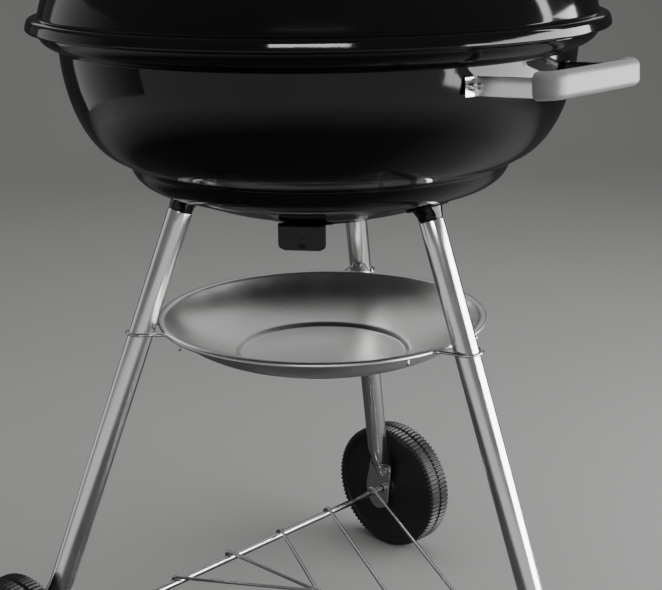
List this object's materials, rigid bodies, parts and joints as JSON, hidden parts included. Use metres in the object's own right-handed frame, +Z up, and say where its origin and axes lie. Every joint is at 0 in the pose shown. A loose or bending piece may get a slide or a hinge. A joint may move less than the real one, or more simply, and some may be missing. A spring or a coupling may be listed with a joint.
{
  "type": "kettle charcoal grill",
  "caption": "Round kettle charcoal grill with a domed lid and stepped bowl on splayed tube legs, with a hanging ash pan, a wire rack and wheels at the back.",
  "frame": {"origin": "on the floor, at the centre of the footprint's bounding box", "axes": "+Z up; the plain leg and one side handle point to -Y, the axle and wheels are on the +Y side, the axle lies along X, and wheel_left is at -X"},
  "size_m": [0.6546, 0.7003, 0.9772],
  "materials": {
    "black_enamel": "gloss black porcelain enamel on steel",
    "satin_aluminium": "satin, lightly brushed",
    "polished_metal": "polished, streaked along its length",
    "plated_steel": "bright plated wire and fasteners",
    "grate_steel": "plain heavy steel rod",
    "grey_plastic": "light grey, fine satin grain",
    "black_plastic": "matte black moulding"
  },
  "bodies": {
    "kettle_stand": {"bowl_shell": "black_enamel", "bottom_damper_rivet": "plated_steel", "side_handle_front_bracket": "polished_metal", "side_handle_front_grip": "grey_plastic", "side_handle_front_bolt_left": "plated_steel", "side_handle_front_bolt_right": "plated_steel", "side_handle_rear_bracket": "polished_metal", "side_handle_rear_grip": "grey_plastic", "side_handle_rear_bolt_left": "plated_steel", "side_handle_rear_bolt_right": "plated_steel", "leg_socket_front": "black_enamel", "leg_front": "polished_metal", "ash_pan_clip_front": "plated_steel", "leg_socket_left": "black_enamel", "leg_left": "polished_metal", "ash_pan_clip_left": "plated_steel", "leg_socket_right": "black_enamel", "leg_right": "polished_metal", "ash_pan_clip_right": "plated_steel", "leg_front_cap": "black_plastic", "hub_cap_left": "black_plastic", "hub_cap_right": "black_plastic", "axle": "plated_steel", "bottom_rack": "plated_steel"},
    "wheel_left": {"wheel_left": "black_plastic"},
    "wheel_right": {"wheel_right": "black_plastic"},
    "bottom_damper": {"bottom_damper": "black_enamel"},
    "ash_pan": {"ash_pan": "satin_aluminium"},
    "charcoal_grate": {"charcoal_grate": "grate_steel"},
    "cooking_grate": {"cooking_grate": "plated_steel"},
    "lid": {"lid_shell": "black_enamel", "lid_damper_rivet": "plated_steel", "lid_handle_shield": "satin_aluminium", "lid_handle_bracket": "polished_metal", "lid_handle_grip": "grey_plastic", "lid_handle_bolt_left": "plated_steel", "lid_handle_bolt_right": "plated_steel"},
    "lid_damper": {"lid_damper": "satin_aluminium"}
  },
  "joints": [
    {"name": "wheel_left_spin", "type": "hinge", "parent": "kettle_stand", "child": "wheel_left", "pos_m": [-0.299, 0.17254, 0.083], "axis": [1, 0, 0], "continuous": true},
    {"name": "wheel_right_spin", "type": "hinge", "parent": "kettle_stand", "child": "wheel_right", "pos_m": [0.299, 0.17254, 0.083], "axis": [1, 0, 0], "continuous": true},
    {"name": "bottom_damper_turn", "type": "hinge", "parent": "kettle_stand", "child": "bottom_damper", "pos_m": [0, 0.01394, 0.532], "axis": [0, 0, 1], "range_deg": [-30, 30]},
    {"name": "ash_pan_lift", "type": "slide", "parent": "kettle_stand", "child": "ash_pan", "axis": [0, 0, 1], "range_m": [0, 0.012]},
    {"name": "charcoal_grate_lift", "type": "slide", "parent": "kettle_stand", "child": "charcoal_grate", "axis": [0, 0, 1], "range_m": [0, 0.2]},
    {"name": "cooking_grate_lift", "type": "slide", "parent": "charcoal_grate", "child": "cooking_grate", "axis": [0, 0, 1], "range_m": [0, 0.15]},
    {"name": "lid_lift", "type": "slide", "parent": "cooking_grate", "child": "lid", "axis": [0, 0, 1], "range_m": [0, 0.35]},
    {"name": "lid_damper_turn", "type": "hinge", "parent": "lid", "child": "lid_damper", "pos_m": [0, 0.19194, 0.87867], "axis": [0, 0.5614, 0.8276], "range_deg": [-20, 25]}
  ]
}
